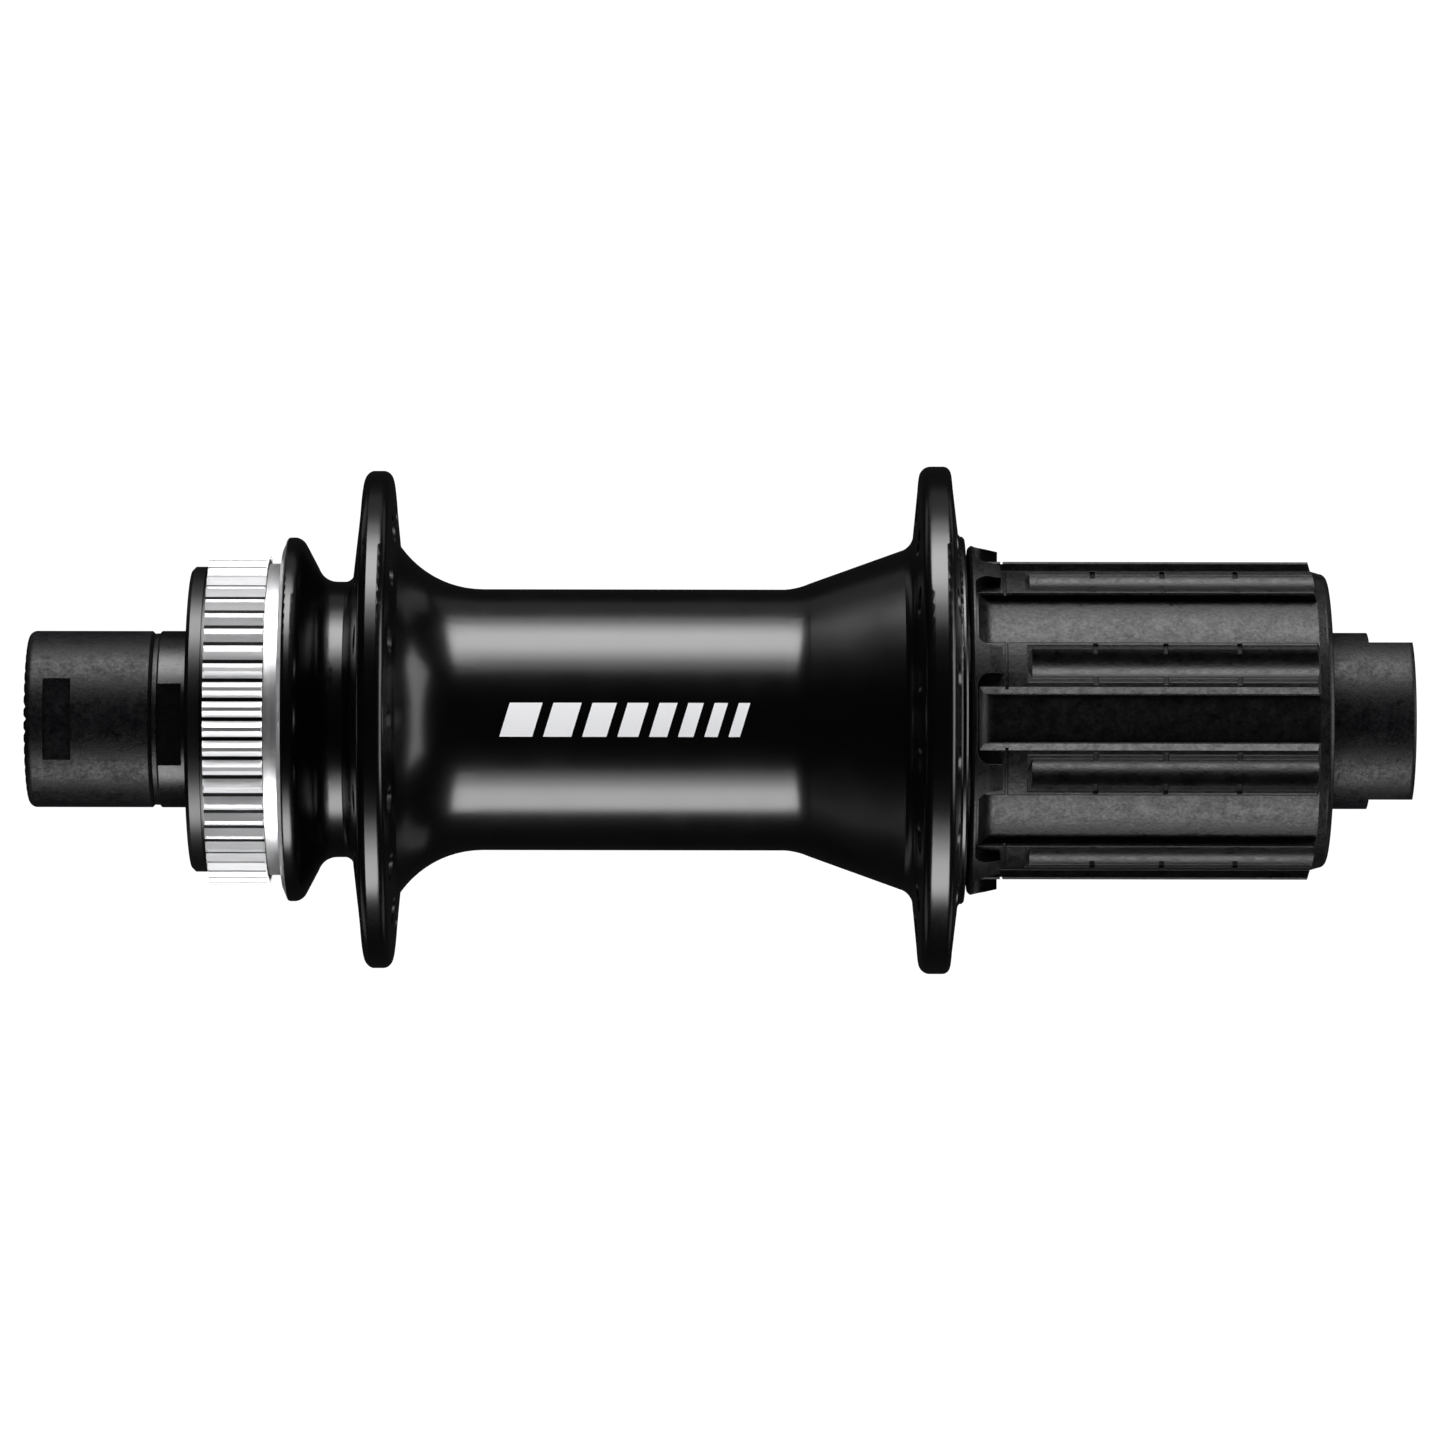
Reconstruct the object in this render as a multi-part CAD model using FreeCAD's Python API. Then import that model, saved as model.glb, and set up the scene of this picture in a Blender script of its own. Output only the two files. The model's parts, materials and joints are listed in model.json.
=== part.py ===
import FreeCAD
import Part
import math
import os

# Bicycle rear hub for a disc brake and a 12 mm through axle. Millimetres.
#
# +X runs along the axle towards the sprocket side and +Z is up. The origin is on the axle line,
# midway between the outer faces of the two locknuts. Angles are about +X, from +Y towards +Z.
# Outlines of turned pieces are (x, radius) points.

UP = 90.0                                  # the direction +Z, as an angle about the axle

# Driving dimensions: width, axle and locknuts
HUB_HALF_WIDTH = 74.0
AXLE_BORE_R = 6.1
AXLE_OD_R = 7.25
AXLE_TUBE_END = 70.0                       # the locknuts close over the tube's ends
LOCKNUT_R = 9.45
WRENCH_FLAT = 8.4                          # half across the flats, for a 17 mm wrench
LEFT_NUT_INNER = -60.4
LEFT_WASHER_INNER = -59.9
RIGHT_NUT_INNER = 62.0
RIGHT_CONE_END = 60.8
SERRATIONS = 40
SERRATION_DEPTH = 0.3
WRENCH_POCKET = (-71.95, -69.05)
LEFT_CONE_FLATS_END = -57.3
LEFT_CONE_TURN = 3.9                       # the cone was last tightened this far past the locknut
RIGHT_NUT_FLATS_START = 69.25

# Driving dimensions: main bearings, 5/32 inch balls on both sides
MAIN_BALL_R = 1.984
MAIN_PITCH_R = 10.7
MAIN_BALLS = 15
LEFT_BALL_X = -47.0
RIGHT_BALL_X = 52.9
CONE_COLLAR_R = 9.46
BALL_CLEARANCE = 0.03                      # between a ball and each of its races
CUP_R = 13.8

# Driving dimensions: freehub bearings, 1/8 inch balls
FREE_BALL_R = 1.5875
FREE_PITCH_R = 13.0
FREE_BALLS = 25
FREE_INBOARD_X = 31.5
FREE_OUTBOARD_X = 48.5

# Driving dimensions: shell
BARREL_R = 14.0
BARREL_BORE_R = 11.2
MOUTH_X = -56.5
LOCKRING_BORE_R = 14.5
MOUNT_SPLINES = 52
MOUNT_ROOT_R = 16.7
MOUNT_TIP_R = 17.72
MOUNT_SPLINE_ROOT_R = 17.1
MOUNT_SPLINE_X = (-54.5, -48.2)
MOUNT_TIP_HALF_ANGLE = 0.65
MOUNT_ROOT_HALF_ANGLE = 0.6
ROTOR_STOP_X = -46.7
SPOKES_PER_FLANGE = 16
SPOKE_HOLE_R = 1.3
LEFT_SPOKE_PCR = 22.0
RIGHT_SPOKE_PCR = 22.6
SHELL_END = 26.1
SEAL_SEAT_R = 17.0

# Driving dimensions: inner body, its spline in the shell and its bolt
SOCKET_X = (16.6, 23.4)
SOCKET_SPLINES = 8
SOCKET_ROOT_R = 12.2
SOCKET_TIP_R = 13.0
SOCKET_HALF_ANGLE = 11.0
BOLT_THREAD_R = 8.8
BOLT_BORE_R = 7.6
BOLT_HEAD_R = 9.6
WASHER_X = (25.5, 26.5)
INNER_BORE_R = 9.7
INNER_NECK_R = 11.3
PAWL_SEAT_R = 12.3
CUP_THREAD_R = 10.2
CUP_BACK_X = 49.3                          # where the inner body ends and the right cup begins

# Driving dimensions: sprocket carrier
CARRIER_X = (26.5, 64.85)
CARRIER_FLOOR_R = 16.0
CARRIER_RIDGE_R = 17.05
SHOULDER_X = 29.75
RIDGE_END_X = 63.0
GROOVES = 9
GROOVE_HALF_ANGLE = 11.4
GROOVE_CHAMFER = 0.2
NARROW_HALF_ANGLE = 9.15
NARROW_CHAMFER = 0.65
NARROW_GROOVE_AT = 89.3
NOTCH_HALF_ANGLE = 15.25
CASSETTE_BORE_R = 14.75
RIDGE_CHANNEL_R = 2.4
RIDGE_CHANNEL_DEPTH = 0.8
RIDGE_CHANNEL_START = 32.9
RIDGE_CHANNEL_RAMP = 0.5
RIDGE_STEP = 0.17                          # depth of the shallow step beside the channel
RIDGE_STEP_HALF_WIDTH = 2.08
RIDGE_TICKS_X = (39.6, 47.0, 54.8)         # small nicks in the lands of every ridge

# Driving dimensions: ratchet and pawls
RATCHET_TEETH = 36
RATCHET_X = (34.5, 42.5)
RATCHET_TIP_R = 12.5
RATCHET_ROOT_R = 13.3
PAWL_X = (35.1, 41.9)
PAWL_PIVOT_R = 11.15
PAWL_HEEL_R = 0.95
PAWL_REACH = 6.64                          # from the pivot to the pawl's nose
PAWL_ANGLES = {"pawl_a": 20.0, "pawl_b": 200.0}
SPRING_X = 38.5
SPRING_RING_R = 11.8
SPRING_WIRE_R = 0.3

ORIGIN = FreeCAD.Vector(0, 0, 0)
AXIS = FreeCAD.Vector(1, 0, 0)


def turned(start, *steps, degrees=360.0):
    """Solid of revolution about the axle. A step of two numbers is the end of a straight line; a
    step of four is the middle and the end of an arc. The outline closes by itself."""
    edges = []
    here = start
    for step in steps + (start,):
        end = FreeCAD.Vector(step[-2], 0, step[-1])
        begin = FreeCAD.Vector(here[-2], 0, here[-1])
        if len(step) == 4:
            edges.append(Part.Arc(begin, FreeCAD.Vector(step[0], 0, step[1]), end).toShape())
        else:
            edges.append(Part.LineSegment(begin, end).toShape())
        here = step
    return Part.Face(Part.Wire(edges)).revolve(ORIGIN, AXIS, degrees)


def ring(x0, x1, r_in, r_out):
    """Plain turned ring."""
    return turned((x0, r_in), (x1, r_in), (x1, r_out), (x0, r_out))


def around(angle, radius):
    """Point of the plane x = 0 at an angle and a radius about the axle."""
    turn = math.radians(angle)
    return FreeCAD.Vector(0, radius * math.cos(turn), radius * math.sin(turn))


def rotated(shape, angle, centre=ORIGIN):
    """Copy turned about a line along X."""
    copy = shape.copy()
    copy.rotate(centre, AXIS, angle)
    return copy


def prism(points, x0, x1):
    """Polygon of the plane x = 0 pushed from x0 to x1."""
    corners = [FreeCAD.Vector(x0, p.y, p.z) for p in points]
    face = Part.Face(Part.makePolygon(corners + corners[:1]))
    return face.extrude(FreeCAD.Vector(x1 - x0, 0, 0))


def sector(centre_angle, half_angle, x0, x1, radius=40.0):
    """Wedge from the axle outwards, for cutting grooves."""
    low = around(centre_angle - half_angle, radius)
    high = around(centre_angle + half_angle, radius)
    return prism([ORIGIN, low, high], x0, x1)


def block(x0, x1, y0, y1, z0, z1):
    """Box between two corners."""
    return Part.makeBox(x1 - x0, y1 - y0, z1 - z0, FreeCAD.Vector(x0, y0, z0))


def race(x, pitch_r, ball_r):
    """Ring-shaped track of a row of balls, a little larger than the balls."""
    centre = FreeCAD.Vector(x, 0, 0)
    return Part.makeTorus(pitch_r, ball_r + BALL_CLEARANCE, centre, AXIS)


def ball_row(x, pitch_r, ball_r, count):
    """Separate balls, evenly spaced."""
    balls = []
    for i in range(count):
        centre = around(UP + 360.0 * i / count, pitch_r) + FreeCAD.Vector(x, 0, 0)
        balls.append(Part.makeSphere(ball_r, centre, AXIS))
    return Part.makeCompound(balls)


def wrench_flats(x0, x1, facing):
    """Pair of cutters that leave two flats, facing the given angle and its opposite."""
    far = 2 * LOCKNUT_R
    cutter = block(x0, x1, WRENCH_FLAT, far, -far, far)
    return [rotated(cutter, facing), rotated(cutter, facing + 180)]


# Axle and the pieces screwed on it

def axle_tube():
    chamfer = 0.3
    end = AXLE_TUBE_END
    return turned((-end, AXLE_BORE_R), (end, AXLE_BORE_R), (end, AXLE_OD_R - chamfer),
                  (end - chamfer, AXLE_OD_R), (-end + chamfer, AXLE_OD_R), (-end, AXLE_OD_R - chamfer))


def serrations():
    """Radial V grooves for the left locknut's outer face."""
    spread = 0.8 * math.tan(math.radians(180.0 / SERRATIONS))
    mouth_x = -HUB_HALF_WIDTH - 0.1
    root_x = -HUB_HALF_WIDTH + SERRATION_DEPTH
    wires = []
    for radius in (5.5, 10.0):
        low = FreeCAD.Vector(mouth_x, radius, -radius * spread)
        high = FreeCAD.Vector(mouth_x, radius, radius * spread)
        root = FreeCAD.Vector(root_x, radius, 0)
        wires.append(Part.makePolygon([low, high, root, low]))
    groove = Part.makeLoft(wires, True, True)
    return [rotated(groove, 360.0 * i / SERRATIONS) for i in range(SERRATIONS)]


def left_locknut():
    face = -HUB_HALF_WIDTH
    nut = turned((face, AXLE_BORE_R), (-AXLE_TUBE_END, AXLE_BORE_R), (-AXLE_TUBE_END, AXLE_OD_R),
                 (LEFT_NUT_INNER, AXLE_OD_R), (LEFT_NUT_INNER, LOCKNUT_R - 0.4),
                 (LEFT_NUT_INNER - 0.4, LOCKNUT_R), (face + 0.8, LOCKNUT_R),
                 (face + 0.25, LOCKNUT_R - 0.25, face, LOCKNUT_R - 0.8))
    return nut.cut(wrench_flats(*WRENCH_POCKET, UP) + serrations())


def left_lock_washer():
    return ring(LEFT_NUT_INNER, LEFT_WASHER_INNER, AXLE_OD_R, 9.2)


def cone(collar_end, ball_x, side):
    """Bearing cone. side is -1 on the left and +1 on the right; the collar points outwards."""
    outline = ((collar_end, AXLE_OD_R), (collar_end, CONE_COLLAR_R - 0.15),
               (collar_end - 0.15 * side, CONE_COLLAR_R), (ball_x + 4.9 * side, CONE_COLLAR_R),
               (ball_x + 4.3 * side, 10.3), (ball_x, 10.3), (ball_x, 8.75), (ball_x - 1.9 * side, 8.75),
               (ball_x - 2.4 * side, 8.2), (ball_x - 2.4 * side, AXLE_OD_R))
    return turned(*outline).cut(race(ball_x, MAIN_PITCH_R, MAIN_BALL_R))


def left_cone():
    body = cone(LEFT_WASHER_INNER, LEFT_BALL_X, -1)
    return body.cut(wrench_flats(LEFT_WASHER_INNER, LEFT_CONE_FLATS_END, UP + LEFT_CONE_TURN))


def right_cone():
    return cone(RIGHT_CONE_END, RIGHT_BALL_X, 1)


def cone_seal(x, side):
    """Rubber ring with a lip that leans outwards."""
    return turned((x, CONE_COLLAR_R), (x, 12.3), (x + 0.5 * side, 12.5), (x + 0.8 * side, 12.3),
                  (x + 0.6 * side, 11.0), (x + 1.4 * side, 10.6), (x + 1.4 * side, CONE_COLLAR_R))


def left_cone_seal():
    return cone_seal(-51.95, -1)


def right_cone_seal():
    return cone_seal(58.45, 1)


def right_dust_cover():
    x0, x1 = 57.85, 58.45
    return turned((x0, CONE_COLLAR_R), (x0, 12.9), (x0 + 0.3, 13.2), (x1, 12.9), (x1, CONE_COLLAR_R))


def right_spacer():
    return ring(RIGHT_CONE_END, RIGHT_NUT_INNER, AXLE_OD_R, 9.2)


def right_locknut():
    face = HUB_HALF_WIDTH
    nut = turned((face, AXLE_BORE_R), (AXLE_TUBE_END, AXLE_BORE_R), (AXLE_TUBE_END, AXLE_OD_R),
                 (RIGHT_NUT_INNER, AXLE_OD_R), (RIGHT_NUT_INNER, LOCKNUT_R - 0.3),
                 (RIGHT_NUT_INNER + 0.3, LOCKNUT_R), (face - 0.5, LOCKNUT_R),
                 (face - 0.15, LOCKNUT_R - 0.15, face, LOCKNUT_R - 0.5))
    return nut.cut(wrench_flats(RIGHT_NUT_FLATS_START, face, 0))


# Shell and the pieces fixed in it

def shell_body():
    """Everything turned on the shell. The rotor splines are added on the cylinder of MOUNT_ROOT_R."""
    lip = 16.35
    neck = 15.9
    return turned(
        (MOUTH_X, LOCKRING_BORE_R + 0.4), (MOUTH_X, lip - 0.4), (MOUTH_X + 0.4, lip), (-54.9, lip),
        (-54.9, neck), (MOUNT_SPLINE_X[0], neck), (MOUNT_SPLINE_X[0], MOUNT_ROOT_R),
        # rotor stop
        (ROTOR_STOP_X, MOUNT_ROOT_R), (ROTOR_STOP_X, 18.3), (-46.35, 19.1), (-46.2, 19.42, -45.9, 19.5),
        (-45.4, 19.5), (-44.75, 19.22, -44.35, 18.75), (-43.0, 16.2), (-42.2, 15.15, -40.9, 14.77),
        (-40.0, 14.77), (-39.4, 15.15, -39.1, 16.2),
        # left spoke flange and the flare down to the barrel
        (-38.0, 25.3), (-37.75, 26.25, -37.1, 26.66), (-36.0, 26.66), (-35.3, 26.3, -35.05, 25.5),
        (-34.5, 20.0), (-34.45, 19.2, -34.2, 18.5), (-31.0, 15.55, -25.4, BARREL_R),
        # barrel, right flare and right spoke flange
        (7.0, BARREL_R), (8.3, 14.2, 9.6, 14.65), (19.6, 18.25), (20.35, 18.9, 20.7, 19.9), (21.3, 25.9),
        (21.6, 26.8, 22.5, 27.2), (23.8, 27.2), (24.45, 26.93, 24.65, 26.3), (25.4, 20.1),
        (25.5, 19.75, 25.7, 19.7), (SHELL_END - 0.2, 19.7), (SHELL_END, 19.5),
        # recess of the seal, socket, bolt thread, bore, cup seat, lockring thread
        (SHELL_END, SEAL_SEAT_R), (SOCKET_X[1], SEAL_SEAT_R), (SOCKET_X[1], SOCKET_ROOT_R),
        (SOCKET_X[0], SOCKET_ROOT_R),
        (SOCKET_X[0], BOLT_THREAD_R), (9.6, BOLT_THREAD_R), (8.0, BARREL_BORE_R), (-44.0, BARREL_BORE_R),
        (-44.0, CUP_R), (-50.5, CUP_R), (-50.5, LOCKRING_BORE_R), (MOUTH_X + 0.4, LOCKRING_BORE_R))


def rotor_splines():
    """Trapezoid teeth with a root at the top, and short chamfers at both ends."""
    pitch = 360.0 / MOUNT_SPLINES
    buried = MOUNT_ROOT_R - 0.3
    points = []
    for i in range(MOUNT_SPLINES):
        root = UP + i * pitch
        points.append(around(root - MOUNT_ROOT_HALF_ANGLE, MOUNT_SPLINE_ROOT_R))
        points.append(around(root + MOUNT_ROOT_HALF_ANGLE, MOUNT_SPLINE_ROOT_R))
        points.append(around(root + pitch / 2 - MOUNT_TIP_HALF_ANGLE, MOUNT_TIP_R))
        points.append(around(root + pitch / 2 + MOUNT_TIP_HALF_ANGLE, MOUNT_TIP_R))
    teeth = prism(points, *MOUNT_SPLINE_X)
    x0, x1 = MOUNT_SPLINE_X
    chamfer = 0.15
    band = turned((x0, buried), (x0, MOUNT_TIP_R - chamfer), (x0 + chamfer, MOUNT_TIP_R + 0.05),
                  (x1 - chamfer, MOUNT_TIP_R + 0.05), (x1, MOUNT_TIP_R - chamfer), (x1, buried))
    return teeth.common(band)


def spoke_holes(pitch_r, face_low, face_high, first_angle):
    """Countersunk holes through one flange, whose faces at the pitch circle are at the given x."""
    sink = 0.35
    wide = SPOKE_HOLE_R + sink
    over = 1.0
    low = Part.makeCone(wide + over, SPOKE_HOLE_R, sink + over, FreeCAD.Vector(face_low - over, 0, 0), AXIS)
    middle = Part.makeCylinder(SPOKE_HOLE_R, face_high - face_low, FreeCAD.Vector(face_low, 0, 0), AXIS)
    high_start = FreeCAD.Vector(face_high - sink, 0, 0)
    high = Part.makeCone(SPOKE_HOLE_R, wide + over, sink + over, high_start, AXIS)
    tool = middle.fuse([low, high])
    holes = []
    for i in range(SPOKES_PER_FLANGE):
        hole = tool.copy()
        hole.translate(around(first_angle + 360.0 * i / SPOKES_PER_FLANGE, pitch_r))
        holes.append(hole)
    return holes


def socket_splines():
    """Lugs of the inner body's foot; the shell's socket is cut with the same shape."""
    lugs = []
    hoop = ring(SOCKET_X[0], SOCKET_X[1], SOCKET_ROOT_R - 0.5, SOCKET_TIP_R)
    for i in range(SOCKET_SPLINES):
        wedge = sector(360.0 * i / SOCKET_SPLINES, SOCKET_HALF_ANGLE, SOCKET_X[0] - 1, SOCKET_X[1] + 1)
        lugs.append(hoop.common(wedge))
    return lugs


def hub_shell():
    shell = shell_body().fuse(rotor_splines())
    half_pitch = 180.0 / SPOKES_PER_FLANGE
    holes = spoke_holes(LEFT_SPOKE_PCR, -38.4, -34.7, UP)
    holes += spoke_holes(RIGHT_SPOKE_PCR, 20.95, 25.03, UP + half_pitch)
    return shell.cut(holes + socket_splines())


def left_bearing_cup():
    cup = turned((-49.2, CUP_R), (-49.2, 12.95), (-49.0, 12.75), (-46.9, 12.75), (-45.9, 10.6),
                 (-44.0, 10.6), (-44.0, CUP_R))
    return cup.cut(race(LEFT_BALL_X, MAIN_PITCH_R, MAIN_BALL_R))


def left_dust_cap():
    return turned((-51.35, 12.8), (-51.35, CUP_R), (-49.2, CUP_R), (-49.2, 13.2), (-50.9, 13.2),
                  (-50.9, 11.6), (-51.35, 11.6))


def freehub_inner_body():
    foot_end = SOCKET_X[0]
    bolt_clearance_r = BOLT_THREAD_R + 0.1
    body = turned(
        (foot_end, SOCKET_ROOT_R), (SOCKET_X[1], SOCKET_ROOT_R), (SOCKET_X[1], 13.4), (27.4, 13.4),
        (27.4, 13.8), (30.7, 13.8), (FREE_INBOARD_X, INNER_NECK_R), (34.0, INNER_NECK_R),
        (34.4, PAWL_SEAT_R), (42.6, PAWL_SEAT_R), (43.0, INNER_NECK_R), (CUP_BACK_X, INNER_NECK_R),
        (CUP_BACK_X, CUP_THREAD_R), (44.3, CUP_THREAD_R), (44.3, INNER_BORE_R),
        (WASHER_X[0], INNER_BORE_R), (WASHER_X[0], bolt_clearance_r), (foot_end, bolt_clearance_r))
    body = body.fuse(socket_splines())
    cuts = [race(FREE_INBOARD_X, FREE_PITCH_R, FREE_BALL_R)]
    cuts.append(ring(SPRING_X - 0.5, SPRING_X + 0.5, SPRING_RING_R - SPRING_WIRE_R, PAWL_SEAT_R + 1))
    cuts += [pawl_pocket(angle) for angle in PAWL_ANGLES.values()]
    return body.cut(cuts)


def freehub_fixing_bolt():
    tip = 9.8
    seat = WASHER_X[1]
    end = 33.0
    return turned((tip, BOLT_BORE_R), (end, BOLT_BORE_R), (end, BOLT_HEAD_R - 0.3),
                  (end - 0.3, BOLT_HEAD_R), (seat, BOLT_HEAD_R), (seat, BOLT_THREAD_R),
                  (tip + 0.4, BOLT_THREAD_R), (tip, BOLT_THREAD_R - 0.4))


def freehub_washer():
    return ring(*WASHER_X, BOLT_THREAD_R + 0.1, BOLT_HEAD_R)


def right_bearing_cup():
    """Threaded cup: its mouth carries the main balls and its back edge carries the freehub's."""
    cup = turned(
        (44.4, 8.9), (44.4, CUP_THREAD_R), (CUP_BACK_X, CUP_THREAD_R), (CUP_BACK_X, CUP_R - 0.8),
        (50.5, CUP_R), (55.1, CUP_R), (55.1, 12.95), (54.9, 12.75), (52.8, 12.75), (51.8, 10.6),
        (50.2, 10.6), (50.2, 8.9))
    cup = cup.cut(race(RIGHT_BALL_X, MAIN_PITCH_R, MAIN_BALL_R))
    return cup.cut(race(FREE_OUTBOARD_X, FREE_PITCH_R, FREE_BALL_R))


def shell_seal():
    back = SOCKET_X[1]
    return turned((back, 14.2), (back, SEAL_SEAT_R), (25.6, SEAL_SEAT_R), (25.6, 15.6), (26.2, 15.2),
                  (26.2, 14.6), (25.0, 14.2))


def pawl_spring():
    """Split wire ring in the groove over both pawls."""
    centre = FreeCAD.Vector(SPRING_X, 0, SPRING_RING_R)
    wire = Part.Wire(Part.makeCircle(SPRING_WIRE_R, centre, FreeCAD.Vector(0, 1, 0)))
    return rotated(Part.Face(wire).revolve(ORIGIN, AXIS, 350.0), 30.0)


# Ratchet and pawls. A pawl is drawn in its own frame: u points outwards through its pivot, v along
# the hub's rim towards its nose. Swinging about +X by a positive angle folds it in.

def pawl_point(angle, u, v):
    """Point of a pawl's own frame, for a pawl whose pivot is at the given angle."""
    turn = math.radians(angle)
    y = (PAWL_PIVOT_R + u) * math.cos(turn) - v * math.sin(turn)
    z = (PAWL_PIVOT_R + u) * math.sin(turn) + v * math.cos(turn)
    return FreeCAD.Vector(0, y, z)


def pawl_pocket(angle):
    """Room for one pawl over its whole swing."""
    heel = PAWL_HEEL_R + 0.05
    x0 = PAWL_X[0] - 0.1
    x1 = PAWL_X[1] + 0.1
    corners = [(-heel, 0), (-1.45, 3.0), (-2.15, 6.3), (-2.2, 7.6), (3.0, 7.6), (3.0, 0), (heel, 0)]
    bay = prism([pawl_point(angle, u, v) for u, v in corners], x0, x1)
    seat = Part.makeCylinder(heel, x1 - x0, pawl_point(angle, 0, 0) + FreeCAD.Vector(x0, 0, 0), AXIS)
    return bay.fuse(seat)


def pawl(angle):
    """Pawl at rest, with its nose in a tooth gap."""
    x0, x1 = PAWL_X
    heel = PAWL_HEEL_R
    corners = [(heel, 0), (0.25, 4.8), (0.3, 6.3), (0.14, PAWL_REACH), (-0.75, 6.5), (-0.6, 3.0),
               (-heel, 0)]
    arm = prism([pawl_point(angle, u, v) for u, v in corners], x0, x1)
    barrel = Part.makeCylinder(heel, x1 - x0, pawl_point(angle, 0, 0) + FreeCAD.Vector(x0, 0, 0), AXIS)
    slot_floor = SPRING_RING_R - SPRING_WIRE_R - 0.15
    slot = ring(SPRING_X - 0.5, SPRING_X + 0.5, slot_floor, PAWL_SEAT_R + 2)
    return arm.fuse(barrel).removeSplitter().cut(slot)


def wall_angle(radius):
    """Angle, from a pawl's pivot, at which a tooth's steep wall crosses a radius. The wall follows
    the nose's own swing, so that the pawl folds in freely and still bears square."""
    reach = PAWL_REACH + 0.08
    cosine = (PAWL_PIVOT_R ** 2 + radius ** 2 - reach ** 2) / (2 * PAWL_PIVOT_R * radius)
    return math.degrees(math.acos(cosine))


def ratchet_gaps():
    """Star-shaped cutter that leaves the saw teeth standing in the carrier's bore."""
    pitch = 360.0 / RATCHET_TEETH
    start = PAWL_ANGLES["pawl_a"]
    points = []
    for i in range(RATCHET_TEETH):
        wall_top = start + wall_angle(RATCHET_ROOT_R) + i * pitch
        wall_foot = start + wall_angle(RATCHET_TIP_R) + i * pitch
        points.append(around(wall_top, RATCHET_ROOT_R))
        points.append(around(wall_foot, RATCHET_TIP_R))
        points.append(around(wall_foot + 0.8, RATCHET_TIP_R))
        points.append(around(wall_top + 8.5, RATCHET_ROOT_R))
    return prism(points, *RATCHET_X)


# Sprocket carrier

def carrier_body():
    """Turned blank of the sprocket carrier, before its grooves."""
    bore = RATCHET_TIP_R - 0.05
    wide_bore = 14.2
    x0, x1 = CARRIER_X
    return turned(
        (x0, 14.3), (x0, 18.45), (x0 + 0.3, 18.72), (28.4, 18.5), (SHOULDER_X, 18.2),
        (SHOULDER_X, CARRIER_RIDGE_R),
        # relief behind the sprocket shoulder
        (30.05, CARRIER_RIDGE_R), (30.05, 16.8), (30.35, 16.8), (30.35, CARRIER_RIDGE_R),
        (RIDGE_END_X, CARRIER_RIDGE_R), (63.3, CARRIER_FLOOR_R), (64.15, 15.75), (64.65, 15.5, x1, 15.05),
        # lockring thread, seal seat, races and the bore between them
        (x1, CASSETTE_BORE_R), (56.5, CASSETTE_BORE_R), (56.5, wide_bore), (47.9, wide_bore), (47.9, bore),
        (32.1, bore), (32.1, wide_bore), (x0 + 0.1, wide_bore))


def carrier_groove(angle, half_angle, chamfer):
    """Cutter of one sprocket groove, with chamfered edges and a ramp where the cutter ran out under
    the collar."""
    trench = turned((27.1, 19.0), (27.15, 17.7), (27.75, 16.5, 29.15, CARRIER_FLOOR_R),
                    (66.0, CARRIER_FLOOR_R), (66.0, 19.0))
    overshoot = 0.1
    wide_angle = half_angle + math.degrees((chamfer + overshoot) / CARRIER_RIDGE_R)
    low_side = [around(angle - half_angle, CARRIER_RIDGE_R - chamfer),
                around(angle - wide_angle, CARRIER_RIDGE_R + overshoot), around(angle - wide_angle, 21.0)]
    high_side = [around(angle + wide_angle, 21.0), around(angle + wide_angle, CARRIER_RIDGE_R + overshoot),
                 around(angle + half_angle, CARRIER_RIDGE_R - chamfer)]
    return trench.common(prism([ORIGIN] + low_side + high_side, 26.6, 67.0))


def collar_notch(angle):
    """Round-cornered notch that the groove's cutter leaves in the collar."""
    corner = 1.5
    x0, x1 = 27.05, 32.0
    half = 18.4 * math.sin(math.radians(NOTCH_HALF_ANGLE))
    notch = block(x0, x1, -half, half, CARRIER_RIDGE_R - 3, 22.0)
    corners = [edge for edge in notch.Edges if is_notch_corner(edge, x0)]
    notch = notch.makeFillet(corner, corners)
    notch = notch.cut(ring(x0 - 1, x1 + 1, 0.1, CARRIER_RIDGE_R))
    return rotated(notch, angle - UP)


def is_notch_corner(edge, x):
    """True for the two upright edges at the inboard end of a notch."""
    ends = [vertex.Point for vertex in edge.Vertexes]
    upright = abs(ends[0].z - ends[1].z) > 1.0
    return upright and all(abs(end.x - x) < 1e-6 for end in ends)


def ridge_channel(angle):
    """Round channel along a ridge, with a shallow step beside it and nicks in the two lands."""
    mouth = FreeCAD.Vector(RIDGE_CHANNEL_START, 0, CARRIER_RIDGE_R - RIDGE_CHANNEL_DEPTH + RIDGE_CHANNEL_R)
    channel = Part.makeCylinder(RIDGE_CHANNEL_R, 40.0, mouth, AXIS)
    ramp_start = mouth - FreeCAD.Vector(RIDGE_CHANNEL_RAMP, 0, 0)
    shallow_r = RIDGE_CHANNEL_R - RIDGE_CHANNEL_DEPTH + RIDGE_STEP
    above = CARRIER_RIDGE_R + 2
    half = RIDGE_STEP_HALF_WIDTH
    cutters = [Part.makeCone(shallow_r, RIDGE_CHANNEL_R, RIDGE_CHANNEL_RAMP, ramp_start, AXIS),
               block(ramp_start.x, 70.0, -half, half, CARRIER_RIDGE_R - RIDGE_STEP, above)]
    nick_half = RIDGE_STEP_HALF_WIDTH + 0.2
    for x in RIDGE_TICKS_X:
        cutters.append(block(x - 0.25, x + 0.25, -nick_half, nick_half, CARRIER_RIDGE_R - 0.45, above))
    return rotated(channel.fuse(cutters), angle - UP)


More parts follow.
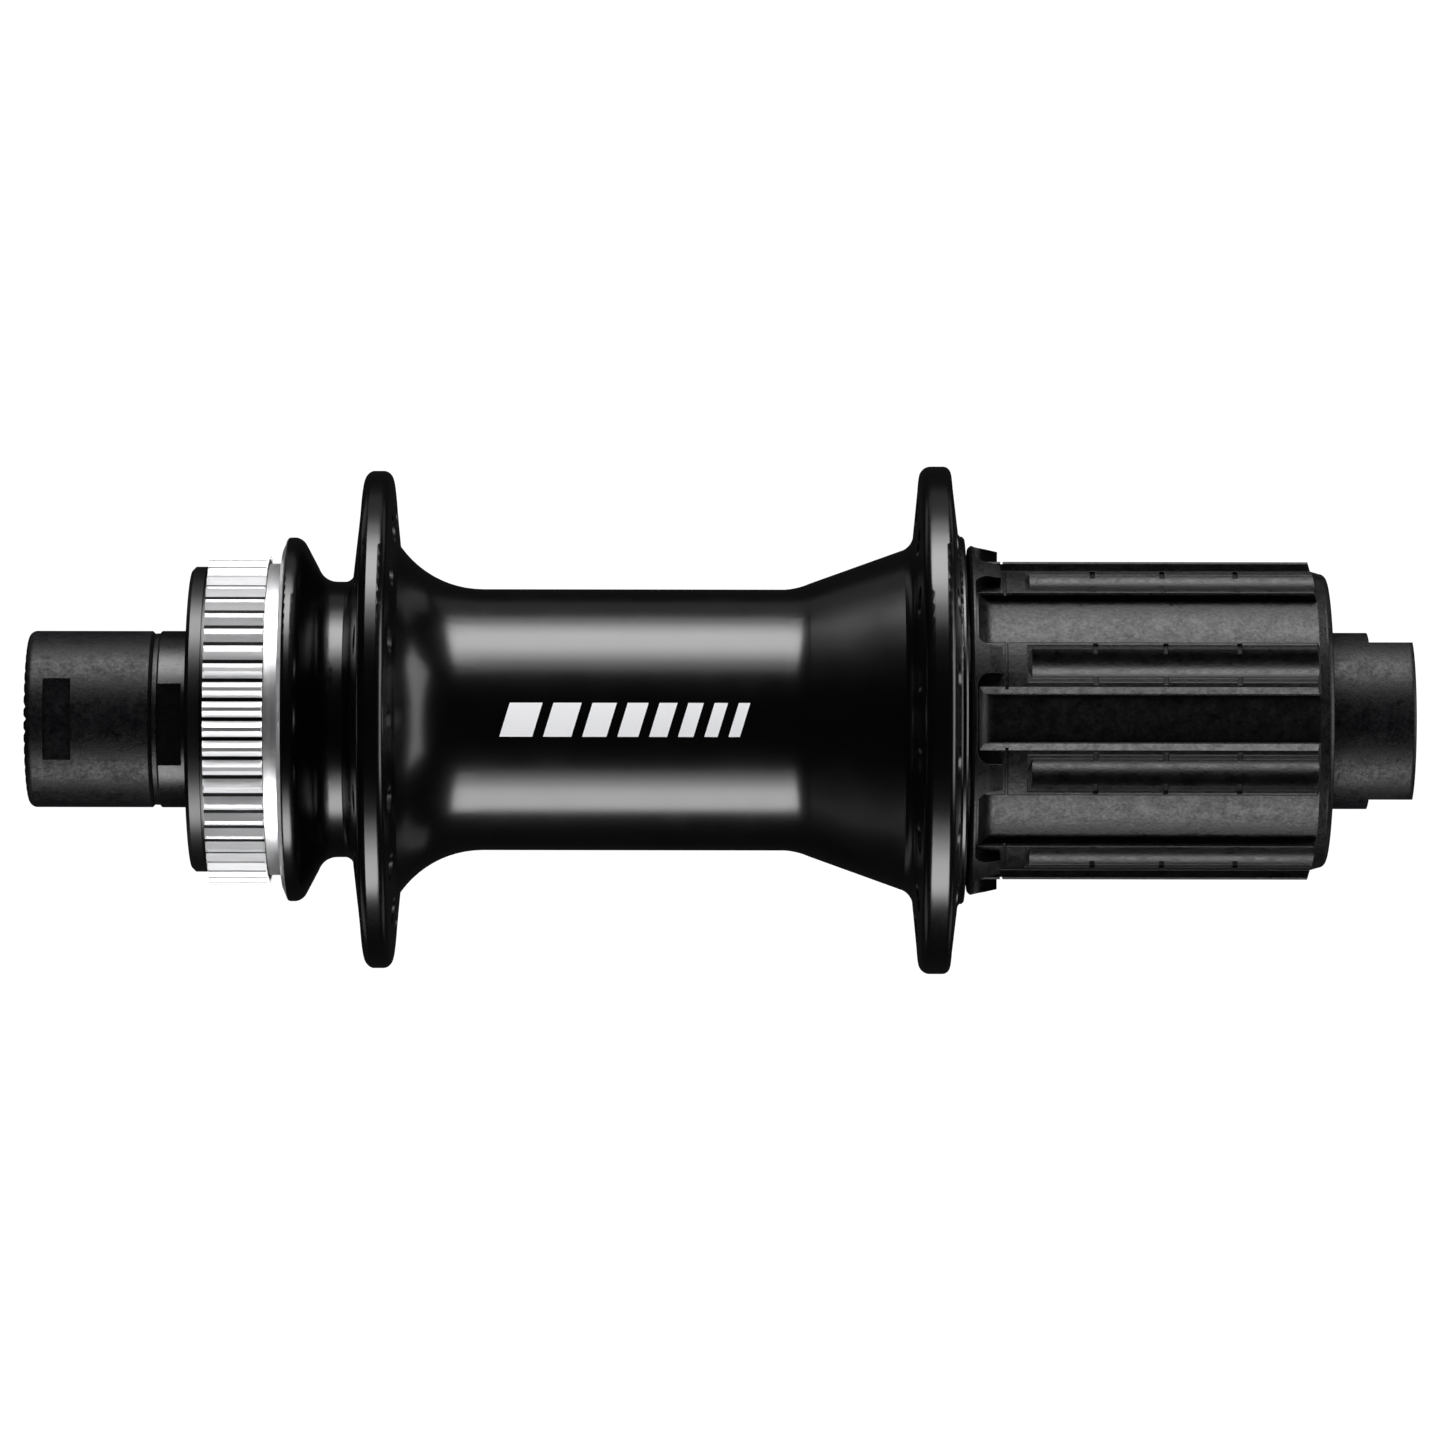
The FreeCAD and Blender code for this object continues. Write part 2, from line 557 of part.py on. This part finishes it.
def freehub_outer_body():
    pitch = 360.0 / GROOVES
    cuts = [ratchet_gaps(), race(FREE_INBOARD_X, FREE_PITCH_R, FREE_BALL_R)]
    cuts.append(race(FREE_OUTBOARD_X, FREE_PITCH_R, FREE_BALL_R))
    for i in range(GROOVES):
        angle = NARROW_GROOVE_AT + i * pitch
        if i:
            cuts.append(carrier_groove(angle, GROOVE_HALF_ANGLE, GROOVE_CHAMFER))
        else:
            cuts.append(carrier_groove(angle, NARROW_HALF_ANGLE, NARROW_CHAMFER))
        cuts.append(collar_notch(angle))
        cuts.append(ridge_channel(angle + pitch / 2))
    return carrier_body().cut(cuts)


def freehub_end_seal():
    return turned((55.6, 13.0), (55.6, 14.2), (56.5, 14.2), (56.5, 13.3), (56.2, 13.0))


def ball_retainer(ball_x, side):
    """Cage on the outer side of the balls, with a pocket for each ball."""
    x0 = ball_x + 0.35 * side
    x1 = ball_x + 2.25 * side
    hoop = turned((x0, 11.75), (x0, 12.15), (x1, 12.15), (x1, 10.75), (x1 - 0.4 * side, 10.75),
                  (x1 - 0.4 * side, 11.75))
    pockets = [Part.makeSphere(MAIN_BALL_R + 0.06, ball.CenterOfMass)
               for ball in ball_row(ball_x, MAIN_PITCH_R, MAIN_BALL_R, MAIN_BALLS).Solids]
    return hoop.cut(pockets)


NODES = {
    "axle_tube": axle_tube(),
    "left_locknut": left_locknut(),
    "left_lock_washer": left_lock_washer(),
    "left_cone": left_cone(),
    "left_cone_seal": left_cone_seal(),
    "right_cone": right_cone(),
    "right_cone_seal": right_cone_seal(),
    "right_dust_cover": right_dust_cover(),
    "right_spacer": right_spacer(),
    "right_locknut": right_locknut(),
    "hub_shell": hub_shell(),
    "left_bearing_cup": left_bearing_cup(),
    "left_dust_cap": left_dust_cap(),
    "freehub_inner_body": freehub_inner_body(),
    "freehub_fixing_bolt": freehub_fixing_bolt(),
    "freehub_washer": freehub_washer(),
    "right_bearing_cup": right_bearing_cup(),
    "shell_seal": shell_seal(),
    "pawl_spring": pawl_spring(),
    "pawl_a": pawl(PAWL_ANGLES["pawl_a"]),
    "pawl_b": pawl(PAWL_ANGLES["pawl_b"]),
    "freehub_outer_body": freehub_outer_body(),
    "freehub_end_seal": freehub_end_seal(),
    "left_balls": ball_row(LEFT_BALL_X, MAIN_PITCH_R, MAIN_BALL_R, MAIN_BALLS),
    "left_ball_retainer": ball_retainer(LEFT_BALL_X, -1),
    "right_balls": ball_row(RIGHT_BALL_X, MAIN_PITCH_R, MAIN_BALL_R, MAIN_BALLS),
    "right_ball_retainer": ball_retainer(RIGHT_BALL_X, 1),
    "freehub_inboard_balls": ball_row(FREE_INBOARD_X, FREE_PITCH_R, FREE_BALL_R, FREE_BALLS),
    "freehub_outboard_balls": ball_row(FREE_OUTBOARD_X, FREE_PITCH_R, FREE_BALL_R, FREE_BALLS),
}

os.makedirs("parts", exist_ok=True)
for name, shape in NODES.items():
    shape.exportStep("parts/" + name + ".step")
    print(name, len(shape.Solids), "solid(s)", round(shape.Volume, 1), "mm3", shape.isValid())
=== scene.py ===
import json
import math

import bpy
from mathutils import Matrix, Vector


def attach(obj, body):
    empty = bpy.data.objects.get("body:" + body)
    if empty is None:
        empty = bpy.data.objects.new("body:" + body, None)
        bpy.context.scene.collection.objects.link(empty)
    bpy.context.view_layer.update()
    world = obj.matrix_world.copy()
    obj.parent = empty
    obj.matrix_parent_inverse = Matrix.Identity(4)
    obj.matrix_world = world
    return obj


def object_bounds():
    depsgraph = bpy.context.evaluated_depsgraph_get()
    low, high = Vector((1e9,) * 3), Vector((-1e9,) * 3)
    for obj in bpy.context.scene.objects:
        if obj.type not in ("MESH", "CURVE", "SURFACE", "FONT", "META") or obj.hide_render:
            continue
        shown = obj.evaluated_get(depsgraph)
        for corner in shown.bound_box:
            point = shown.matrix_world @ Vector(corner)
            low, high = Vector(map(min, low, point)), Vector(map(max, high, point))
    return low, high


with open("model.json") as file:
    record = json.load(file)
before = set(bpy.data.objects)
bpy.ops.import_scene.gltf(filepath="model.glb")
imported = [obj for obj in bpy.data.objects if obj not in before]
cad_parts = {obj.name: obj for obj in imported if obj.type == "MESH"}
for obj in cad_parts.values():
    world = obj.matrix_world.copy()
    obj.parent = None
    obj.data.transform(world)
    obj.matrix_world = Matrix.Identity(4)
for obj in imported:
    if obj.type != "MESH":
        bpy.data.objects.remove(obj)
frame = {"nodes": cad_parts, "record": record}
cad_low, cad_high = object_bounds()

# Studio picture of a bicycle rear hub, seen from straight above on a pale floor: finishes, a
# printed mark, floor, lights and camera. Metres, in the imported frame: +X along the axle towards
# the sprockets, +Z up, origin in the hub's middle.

MM = 0.001

# Places on the shell, in millimetres. The teeth's are pairs: between the two, one finish turns into
# the next, or the bare metal turns into the shade painted on the teeth's roots and tips.
BARE_X = (-54.52, -46.22)                  # ends of the machined rotor mount, left bare
BARE_R = 16.2                              # its least radius
BARE_EDGE = 0.02                           # width over which black turns to bare
TEETH_END_X = (-48.2, -48.1)               # right end of the spline teeth; a smooth ring follows
# Radii between which painted shade darkens the teeth: near black at the roots, grey at the tips
TOOTH_ROOT_R = (17.11, 17.15)
TOOTH_TIP_R = (17.69, 17.71)
BARREL_R = 14.0

NOISE_RANGE = (0.3, 0.7)                   # holds most of a noise texture's values
BEVEL_SAMPLES = 6                          # for a rounded edge

# Pieces whose finish differs from their record slot's: the cones are a smoother steel than the
# sprocket carrier, and the inner body is given the carrier's dark steel as painted shade, so that
# the narrow gap between the shell and the carrier reads dark.
OWN_FINISH = {"left_cone": "cone_steel", "right_cone": "cone_steel",
              # Painted shade: the inner body's dark steel darkens the gap where it shows
              "freehub_inner_body": "dark_steel"}

# Stage and lights
FLOOR_SIZE = 6.0
FLOOR_GAP = 0.0001                         # between the floor and the flanges
BACKDROP_RADIUS = 2.6
PAPER_STRENGTH = 1.05
LIGHT_DISTANCE = 0.9
BOX_SPACING = 0.04                         # between a graded box's lamps, share of the distance
WORLD_COLOUR = (0.012, 0.012, 0.013, 1.0)

# Camera
CAMERA_HEIGHT = 0.9
CAMERA_LENS = 209.8
CAMERA_SENSOR = 36.0
CAMERA_ROLL = math.radians(0.09)
CAMERA_CLIP = (0.01, 50.0)


# Finishes

class Finish:
    """One procedural material, built round its Principled shader. position is the place on the
    surface, in millimetres."""

    def __init__(self, name, **constants):
        self.name = name
        self.material = bpy.data.materials.new(name + "_finish")
        self.material.use_nodes = True
        self.tree = self.material.node_tree
        self.shader = self.tree.nodes["Principled BSDF"]
        for socket, value in constants.items():
            self.shader.inputs[socket].default_value = value
        place = self.add("ShaderNodeTexCoord").outputs["Object"]
        scaled = self.add("ShaderNodeVectorMath", {0: place, "Scale": 1 / MM}, operation="SCALE")
        self.position = scaled.outputs[0]

    def add(self, kind, inputs=None, **settings):
        """New node. inputs maps a socket's name or number to a value or another node's output."""
        node = self.tree.nodes.new(kind)
        for key, value in settings.items():
            setattr(node, key, value)
        for key, value in (inputs or {}).items():
            self.feed(node.inputs[key], value)
        return node

    def feed(self, socket, value):
        if isinstance(value, bpy.types.NodeSocket):
            self.tree.links.new(value, socket)
        else:
            socket.default_value = value

    def set(self, socket, value):
        self.feed(self.shader.inputs[socket], value)

    def maths(self, operation, first, second=0.0):
        return self.add("ShaderNodeMath", {0: first, 1: second}, operation=operation).outputs[0]

    def plus(self, first, second):
        return self.maths("ADD", first, second)

    def minus(self, first, second):
        return self.maths("SUBTRACT", first, second)

    def times(self, first, second):
        return self.maths("MULTIPLY", first, second)

    def span(self, value, low, high, to_low=0.0, to_high=1.0):
        """Value carried from one range to another, and held at its ends."""
        inputs = {0: value, 1: low, 2: high, 3: to_low, 4: to_high}
        return self.add("ShaderNodeMapRange", inputs).outputs[0]

    def vary(self, noise, low, high):
        """Noise carried to the range between two numbers."""
        return self.span(noise, *NOISE_RANGE, low, high)

    def between(self, factor, first, second):
        """Number between two others, each of which may vary."""
        return self.plus(first, self.times(factor, self.minus(second, first)))

    def colours(self, factor, first, second):
        """Colour between two others, each a triple or another node's output."""
        inputs = {0: factor, 6: (*first, 1.0) if isinstance(first, tuple) else first,
                  7: (*second, 1.0) if isinstance(second, tuple) else second}
        return self.add("ShaderNodeMix", inputs, data_type="RGBA").outputs[2]

    def axle_coordinates(self):
        """Distance along the axle, distance from it (both in mm) and angle about it (radians)."""
        x, y, z = self.add("ShaderNodeSeparateXYZ", {0: self.position}).outputs
        radius = self.maths("SQRT", self.plus(self.times(y, y), self.times(z, z)))
        return x, radius, self.maths("ARCTAN2", z, y)

    def noise(self, scale, detail=3.0, roughness=0.55, vector=None):
        """Noise over the position, or over another vector."""
        inputs = {"Vector": self.position if vector is None else vector, "Scale": scale,
                  "Detail": detail, "Roughness": roughness}
        return self.add("ShaderNodeTexNoise", inputs).outputs[0]

    def axle_noise(self, coordinates, along, about, scale, detail=3.0):
        """Noise in axle coordinates. A small along or about draws it out in that direction."""
        x, radius, angle = coordinates
        inputs = {0: self.times(x, along), 1: radius, 2: self.times(angle, about)}
        vector = self.add("ShaderNodeCombineXYZ", inputs).outputs[0]
        return self.noise(scale, detail, vector=vector)

    def relief(self, pattern, depth, edge=0.0):
        """Bump of a pattern, with its depth in mm, over edges rounded to a radius in mm."""
        inputs = {"Height": pattern, "Distance": depth * MM, "Strength": 1.0}
        if edge:
            rounded = self.add("ShaderNodeBevel", {"Radius": edge * MM}, samples=BEVEL_SAMPLES)
            inputs["Normal"] = rounded.outputs[0]
        self.set("Normal", self.add("ShaderNodeBump", inputs).outputs[0])


def black_anodised():
    """Smooth black anodised forging. Its rotor mount is machined bare: broached spline teeth with
    painted shade, their roots painted near black and their tips painted grey, greyer matt flanks,
    and a turned ring beside them."""
    finish = Finish("black_anodised", IOR=1.5)
    coordinates = finish.axle_coordinates()
    x, radius, _ = coordinates

    # Masks: 1 inside each area, 0 outside it
    bare = finish.times(finish.span(x, BARE_X[0] - BARE_EDGE, BARE_X[0]),
                        finish.span(x, BARE_X[1], BARE_X[1] + BARE_EDGE, 1.0, 0.0))
    bare = finish.times(bare, finish.span(radius, BARE_R, BARE_R + BARE_EDGE))
    teeth = finish.span(x, *TEETH_END_X, 1.0, 0.0)
    # Painted shade: masks of the teeth's roots and tips, where the bare metal's colour is darkened
    shaded_root = finish.times(teeth, finish.span(radius, *TOOTH_ROOT_R, 1.0, 0.0))
    shaded_tip = finish.times(teeth, finish.span(radius, *TOOTH_TIP_R))
    flank = finish.minus(teeth, finish.plus(shaded_tip, shaded_root))

    turning = finish.axle_noise(coordinates, along=1.0, about=0.6, scale=6.0, detail=4.0)
    broach = finish.axle_noise(coordinates, along=0.12, about=60.0, scale=2.2, detail=4.0)
    machining = finish.between(teeth, turning, broach)
    clouds = finish.noise(scale=0.25)
    grain = finish.noise(scale=14.0, detail=2.0)

    dyed = finish.colours(clouds, (0.0003, 0.0003, 0.0004), (0.0009, 0.0009, 0.0010))
    metal = finish.colours(machining, (0.74, 0.74, 0.75), (0.92, 0.92, 0.93))
    # Painted shade: grey painted on the tips and near black painted in the roots between the teeth
    metal = finish.colours(shaded_tip, metal, (0.42, 0.42, 0.43))
    metal = finish.colours(shaded_root, metal, (0.004, 0.004, 0.004))
    finish.set("Base Color", finish.colours(bare, dyed, metal))
    matt_flank, matt_all = 0.66, 0.06      # share of the metal's gloss that each takes away
    matt = finish.plus(finish.times(flank, matt_flank), matt_all)
    finish.set("Metallic", finish.minus(bare, finish.times(bare, matt)))

    # The black lip outside the teeth is rougher than the rest of the black
    lip_edge, lip_roughness = 0.3, 0.11
    lip = finish.span(x, BARE_X[0] - lip_edge, BARE_X[0], lip_roughness, 0.0)
    dyed_roughness = finish.plus(finish.vary(clouds, 0.205, 0.235), finish.vary(grain, -0.01, 0.01))
    metal_roughness = finish.between(teeth, finish.vary(turning, 0.30, 0.38),
                                     finish.vary(broach, 0.40, 0.52))
    finish.set("Roughness", finish.between(bare, finish.plus(dyed_roughness, lip), metal_roughness))
    pattern = finish.between(bare, finish.times(turning, 0.3), machining)
    finish.relief(pattern, depth=0.004, edge=0.05)
    return finish


def cap_alloy():
    """Black anodised end caps, bead blasted: satin, with faint violet-grey clouds."""
    finish = Finish("cap_alloy", IOR=1.31)
    clouds = finish.noise(scale=0.55, detail=4.0, roughness=0.6)
    worn = finish.noise(scale=2.2, roughness=0.6)
    blast = finish.noise(scale=9.0, roughness=0.6)
    finish.set("Base Color", finish.colours(clouds, (0.0005, 0.0005, 0.0010),
                                            (0.0016, 0.0015, 0.0026)))
    roughness = finish.plus(finish.vary(clouds, 0.38, 0.54), finish.vary(worn, -0.08, 0.08))
    finish.set("Roughness", finish.plus(roughness, finish.vary(blast, -0.04, 0.04)))
    finish.relief(finish.plus(worn, finish.times(blast, 0.4)), depth=0.022, edge=0.12)
    return finish


def dark_steel(name, ior, roughness, mottling):
    """Black-finished steel, rolled and hardened: satin with a mottled skin. mottling is how far its
    patches and its grain each move the roughness."""
    finish = Finish(name, IOR=ior)
    patches = finish.noise(scale=0.7, detail=4.0, roughness=0.6)
    grain = finish.noise(scale=2.6, roughness=0.6)
    skin = finish.axle_noise(finish.axle_coordinates(), along=0.4, about=14.0, scale=5.0)
    finish.set("Base Color", finish.colours(patches, (0.0010, 0.0010, 0.0011),
                                            (0.0024, 0.0024, 0.0026)))
    mottled = finish.plus(finish.vary(patches, roughness - mottling, roughness + mottling),
                          finish.vary(grain, -mottling, mottling))
    finish.set("Roughness", finish.plus(mottled, finish.vary(skin, -0.03, 0.03)))
    pattern = finish.plus(grain, finish.times(skin, 0.3))
    finish.relief(pattern, depth=0.3 * mottling, edge=0.12)
    return finish


def bright_metal(name, dark, light, roughness, line_depth, edge=0.08):
    """Turned bare metal: fine rings about the axle, and a soft cloudy change of colour."""
    finish = Finish(name, Metallic=1.0)
    rings = finish.axle_noise(finish.axle_coordinates(), along=1.0, about=0.5, scale=7.0,
                              detail=4.0)
    clouds = finish.noise(scale=0.5)
    finish.set("Base Color", finish.colours(clouds, dark, light))
    finish.set("Roughness", finish.vary(rings, roughness - 0.05, roughness + 0.05))
    finish.relief(rings, line_depth, edge)
    return finish


def seal_rubber():
    """Matt moulded nitrile rubber."""
    finish = Finish("seal_rubber", IOR=1.5)
    grain = finish.noise(scale=10.0)
    clouds = finish.noise(scale=0.6)
    finish.set("Base Color", finish.colours(clouds, (0.010, 0.010, 0.010), (0.018, 0.018, 0.018)))
    finish.set("Roughness", finish.vary(grain, 0.55, 0.72))
    finish.relief(grain, depth=0.012, edge=0.1)
    return finish


def white_ink():
    """Pad-printed ink, a little uneven."""
    finish = Finish("white_ink", IOR=1.45)
    speckle = finish.noise(scale=5.0, detail=4.0)
    finish.set("Base Color", finish.colours(speckle, (0.84, 0.84, 0.86), (0.90, 0.90, 0.92)))
    finish.set("Roughness", finish.vary(speckle, 0.5, 0.62))
    finish.relief(speckle, depth=0.003)
    return finish


def cad_finishes():
    made = [
        black_anodised(),
        cap_alloy(),
        seal_rubber(),
        dark_steel("dark_steel", ior=1.35, roughness=0.39, mottling=0.08),
        dark_steel("cone_steel", ior=1.42, roughness=0.29, mottling=0.03),
        bright_metal("bright_steel", (0.50, 0.50, 0.51), (0.62, 0.62, 0.63), 0.24, 0.002),
        bright_metal("ball_steel", (0.70, 0.70, 0.71), (0.78, 0.78, 0.79), 0.10, 0.0002, edge=0.0),
        bright_metal("pressed_steel", (0.46, 0.46, 0.47), (0.60, 0.60, 0.60), 0.34, 0.002),
        bright_metal("axle_alloy", (0.60, 0.60, 0.61), (0.74, 0.74, 0.75), 0.33, 0.003),
        bright_metal("spring_wire", (0.42, 0.42, 0.43), (0.55, 0.55, 0.56), 0.28, 0.001, edge=0.0),
    ]
    return {finish.name: finish.material for finish in made}


def dress_cad_nodes():
    """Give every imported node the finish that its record's slot names, or its own."""
    finishes = cad_finishes()
    for row in frame["record"]["subparts"]:
        mesh = frame["nodes"][row["node"]].data
        mesh.materials.clear()
        mesh.materials.append(finishes[OWN_FINISH.get(row["node"], row["material_slot"])])


# Printed mark

def printed_mark():
    """Row of slanted bars, narrowing towards the right, printed on the barrel's upper side. Sizes
    in millimetres. Each bar is a closed skin bent round the barrel, given row by row with four
    corners a row: left low, left high, right low and right high."""
    half_height = 1.8
    slant = 1.1
    start_x, end_x = -23.3, 3.2
    gap = 1.15
    bars = 8
    shrink = 0.86                          # each bar's width as a share of the one before
    sunk, proud = 0.01, 0.012              # how far the ink goes into the barrel and stands off it
    low_r, high_r = BARREL_R - sunk, BARREL_R + proud
    rows = 14
    ink_length = end_x - start_x - slant - gap * (bars - 1)
    width = ink_length * (1 - shrink) / (1 - shrink ** bars)
    vertices = []
    faces = []
    left = start_x
    for _ in range(bars):
        base = len(vertices)
        for row in range(rows + 1):
            share = row / rows
            angle = (share - 0.5) * 2 * half_height / BARREL_R
            for x in (left + slant * share, left + slant * share + width):
                for r in (low_r, high_r):
                    y, z = r * math.sin(angle), r * math.cos(angle)
                    vertices.append((x * MM, y * MM, z * MM))
        for row in range(rows):
            a = base + 4 * row
            b = a + 4
            faces += [(a + 1, a + 3, b + 3, b + 1), (a, b, b + 2, a + 2), (a, a + 1, b + 1, b),
                      (a + 2, b + 2, b + 3, a + 3)]
        last = base + 4 * rows
        faces += [(base, base + 2, base + 3, base + 1), (last, last + 1, last + 3, last + 2)]
        left += width + gap
        width *= shrink
    mesh = bpy.data.meshes.new("barrel_mark")
    mesh.from_pydata(vertices, [], faces)
    mark = bpy.data.objects.new("barrel_mark", mesh)
    bpy.context.scene.collection.objects.link(mark)
    mesh.materials.append(white_ink().material)
    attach(mark, "hub_shell")


# Stage, lights and camera

def white_paper():
    """Evenly lit white paper."""
    material = bpy.data.materials.new("paper")
    material.use_nodes = True
    nodes = material.node_tree.nodes
    nodes.clear()
    light = nodes.new("ShaderNodeEmission")
    light.inputs["Strength"].default_value = PAPER_STRENGTH
    output = nodes.new("ShaderNodeOutputMaterial")
    material.node_tree.links.new(light.outputs[0], output.inputs[0])
    return material


def stage():
    """Pale floor under the flanges, and a pale backdrop all round, which only the camera sees."""
    paper = white_paper()
    bpy.ops.mesh.primitive_plane_add(size=FLOOR_SIZE, location=(0, 0, cad_low.z - FLOOR_GAP))
    floor = bpy.context.object
    floor.name = "floor"
    bpy.ops.mesh.primitive_uv_sphere_add(radius=BACKDROP_RADIUS, segments=48, ring_count=24)
    backdrop = bpy.context.object
    backdrop.name = "backdrop"
    for thing in (floor, backdrop):
        thing.data.materials.append(paper)
        thing.visible_diffuse = False
        thing.visible_glossy = False
        thing.visible_transmission = False
        thing.visible_shadow = False


def softbox(name, zenith, azimuth, length, height, radiance, distance=LIGHT_DISTANCE):
    """Rectangular light that faces the hub and that the camera doesn't see. zenith is its angle
    from +Z and azimuth from +X, in degrees; length lies along the horizon."""
    lamp = bpy.data.lights.new(name, "AREA")
    lamp.shape = "RECTANGLE"
    lamp.size = length
    lamp.size_y = height
    lamp.energy = radiance * math.pi * length * height
    box = bpy.data.objects.new(name, lamp)
    bpy.context.scene.collection.objects.link(box)
    tilt, turn = math.radians(zenith), math.radians(azimuth)
    out = Vector((math.sin(tilt) * math.cos(turn), math.sin(tilt) * math.sin(turn),
                  math.cos(tilt)))
    box.location = out * distance
    box.rotation_mode = "QUATERNION"
    box.rotation_quaternion = out.to_track_quat("Z", "Y")
    box.visible_camera = False


def graded_box(name, azimuth, length, lamps):
    """Softbox that is brightest along its middle: lamps one behind the other, each given by the
    zeniths of its long edges in degrees and by its radiance. length is the nearest lamp's, and the
    others look as long from the hub."""
    for number, (near, far, radiance) in enumerate(lamps):
        distance = LIGHT_DISTANCE * (1 + BOX_SPACING * number)
        height = 2 * distance * math.tan(math.radians((far - near) / 2))
        softbox(name + "_" + str(number), (near + far) / 2, azimuth,
                length * distance / LIGHT_DISTANCE, height, radiance, distance)


def lights():
    """A graded box each side of the axle, fills at the right end and below, and a dim world."""
    graded_box("upper_box", 90.0, 0.815, ((62, 84, 4.2), (54, 92, 4.5), (44, 102, 2.1)))
    graded_box("lower_box", -90.0, 0.675, ((62, 84, 4.0), (54, 87, 3.2), (46, 89, 2.0)))
    softbox("right_fill", zenith=79.0, azimuth=6.0, length=0.85, height=0.48, radiance=3.3)
    softbox("right_low", zenith=103.0, azimuth=2.0, length=0.42, height=0.44, radiance=2.0)
    softbox("upper_low", zenith=114.0, azimuth=90.0, length=0.80, height=0.40, radiance=0.20)
    for corner, azimuth in enumerate((45.0, 135.0, 225.0, 315.0)):
        softbox("low_corner_" + str(corner), zenith=119.0, azimuth=azimuth, length=0.34,
                height=0.30, radiance=0.35)
    world = bpy.data.worlds.new("studio")
    world.use_nodes = True
    world.node_tree.nodes["Background"].inputs["Color"].default_value = WORLD_COLOUR
    bpy.context.scene.world = world


def camera():
    """Straight above the hub, with the sprocket side to the right."""
    lens = bpy.data.cameras.new("camera")
    lens.lens = CAMERA_LENS
    lens.sensor_width = CAMERA_SENSOR
    lens.clip_start, lens.clip_end = CAMERA_CLIP
    view = bpy.data.objects.new("camera", lens)
    bpy.context.scene.collection.objects.link(view)
    view.location = (0, 0, CAMERA_HEIGHT)
    view.rotation_euler = (0, 0, CAMERA_ROLL)
    bpy.context.scene.camera = view


camera()
dress_cad_nodes()
printed_mark()
stage()
lights()
bpy.context.scene.view_settings.view_transform = "Standard"
